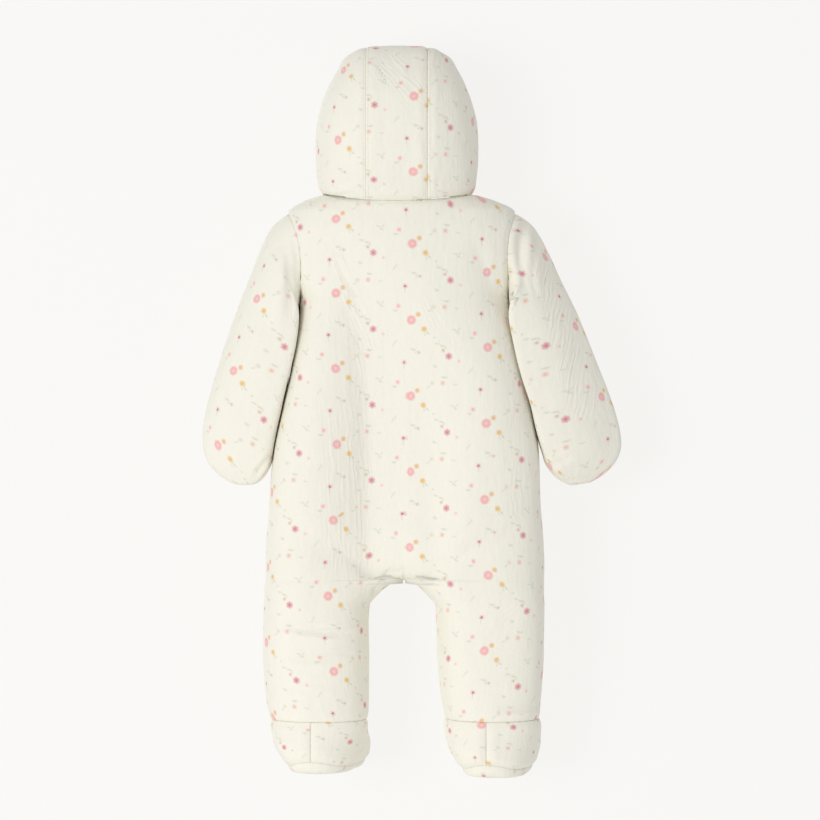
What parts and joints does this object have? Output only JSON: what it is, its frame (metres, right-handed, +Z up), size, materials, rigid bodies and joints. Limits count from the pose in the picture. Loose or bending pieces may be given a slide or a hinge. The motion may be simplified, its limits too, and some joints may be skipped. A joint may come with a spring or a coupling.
{
  "type": "baby snowsuit",
  "caption": "Padded one-piece baby suit with a hood, long sleeves ending in closed mitts, closed feet and a front zip, filled out as when worn.",
  "frame": {"origin": "middle of the neck opening, level with the neck seam at the back, where the wearer's neck holds the suit", "axes": "+Z up to the hood, -Y the back of the suit that the picture shows, +X the wearer's right"},
  "size_m": [0.418, 0.1597, 0.7284],
  "materials": {
    "padded_cloth": "crinkled double gauze with a small flower print, padded",
    "sole_cloth": "the same cloth, as a cut sole",
    "zip_tape": "woven tape with a nylon coil",
    "zip_metal": "satin cream paint on zinc"
  },
  "bodies": {
    "suit": {"back_panel": "padded_cloth", "front_left": "padded_cloth", "front_right": "padded_cloth", "hood_middle": "padded_cloth", "hood_side_left": "padded_cloth", "hood_side_right": "padded_cloth", "sleeve_back_left": "padded_cloth", "sleeve_front_left": "padded_cloth", "sleeve_back_right": "padded_cloth", "sleeve_front_right": "padded_cloth", "foot_upper_left": "padded_cloth", "foot_upper_right": "padded_cloth", "foot_sole_left": "sole_cloth", "foot_sole_right": "sole_cloth", "zip_tape": "zip_tape", "zip_slider": "zip_metal"},
    "pull": {"zip_pull": "zip_metal"}
  },
  "joints": [
    {"name": "pull_swing", "type": "hinge", "parent": "suit", "child": "pull", "pos_m": [0, 0.06556, -0.02538], "axis": [1, 0, 0], "range_deg": [0, 150]}
  ]
}
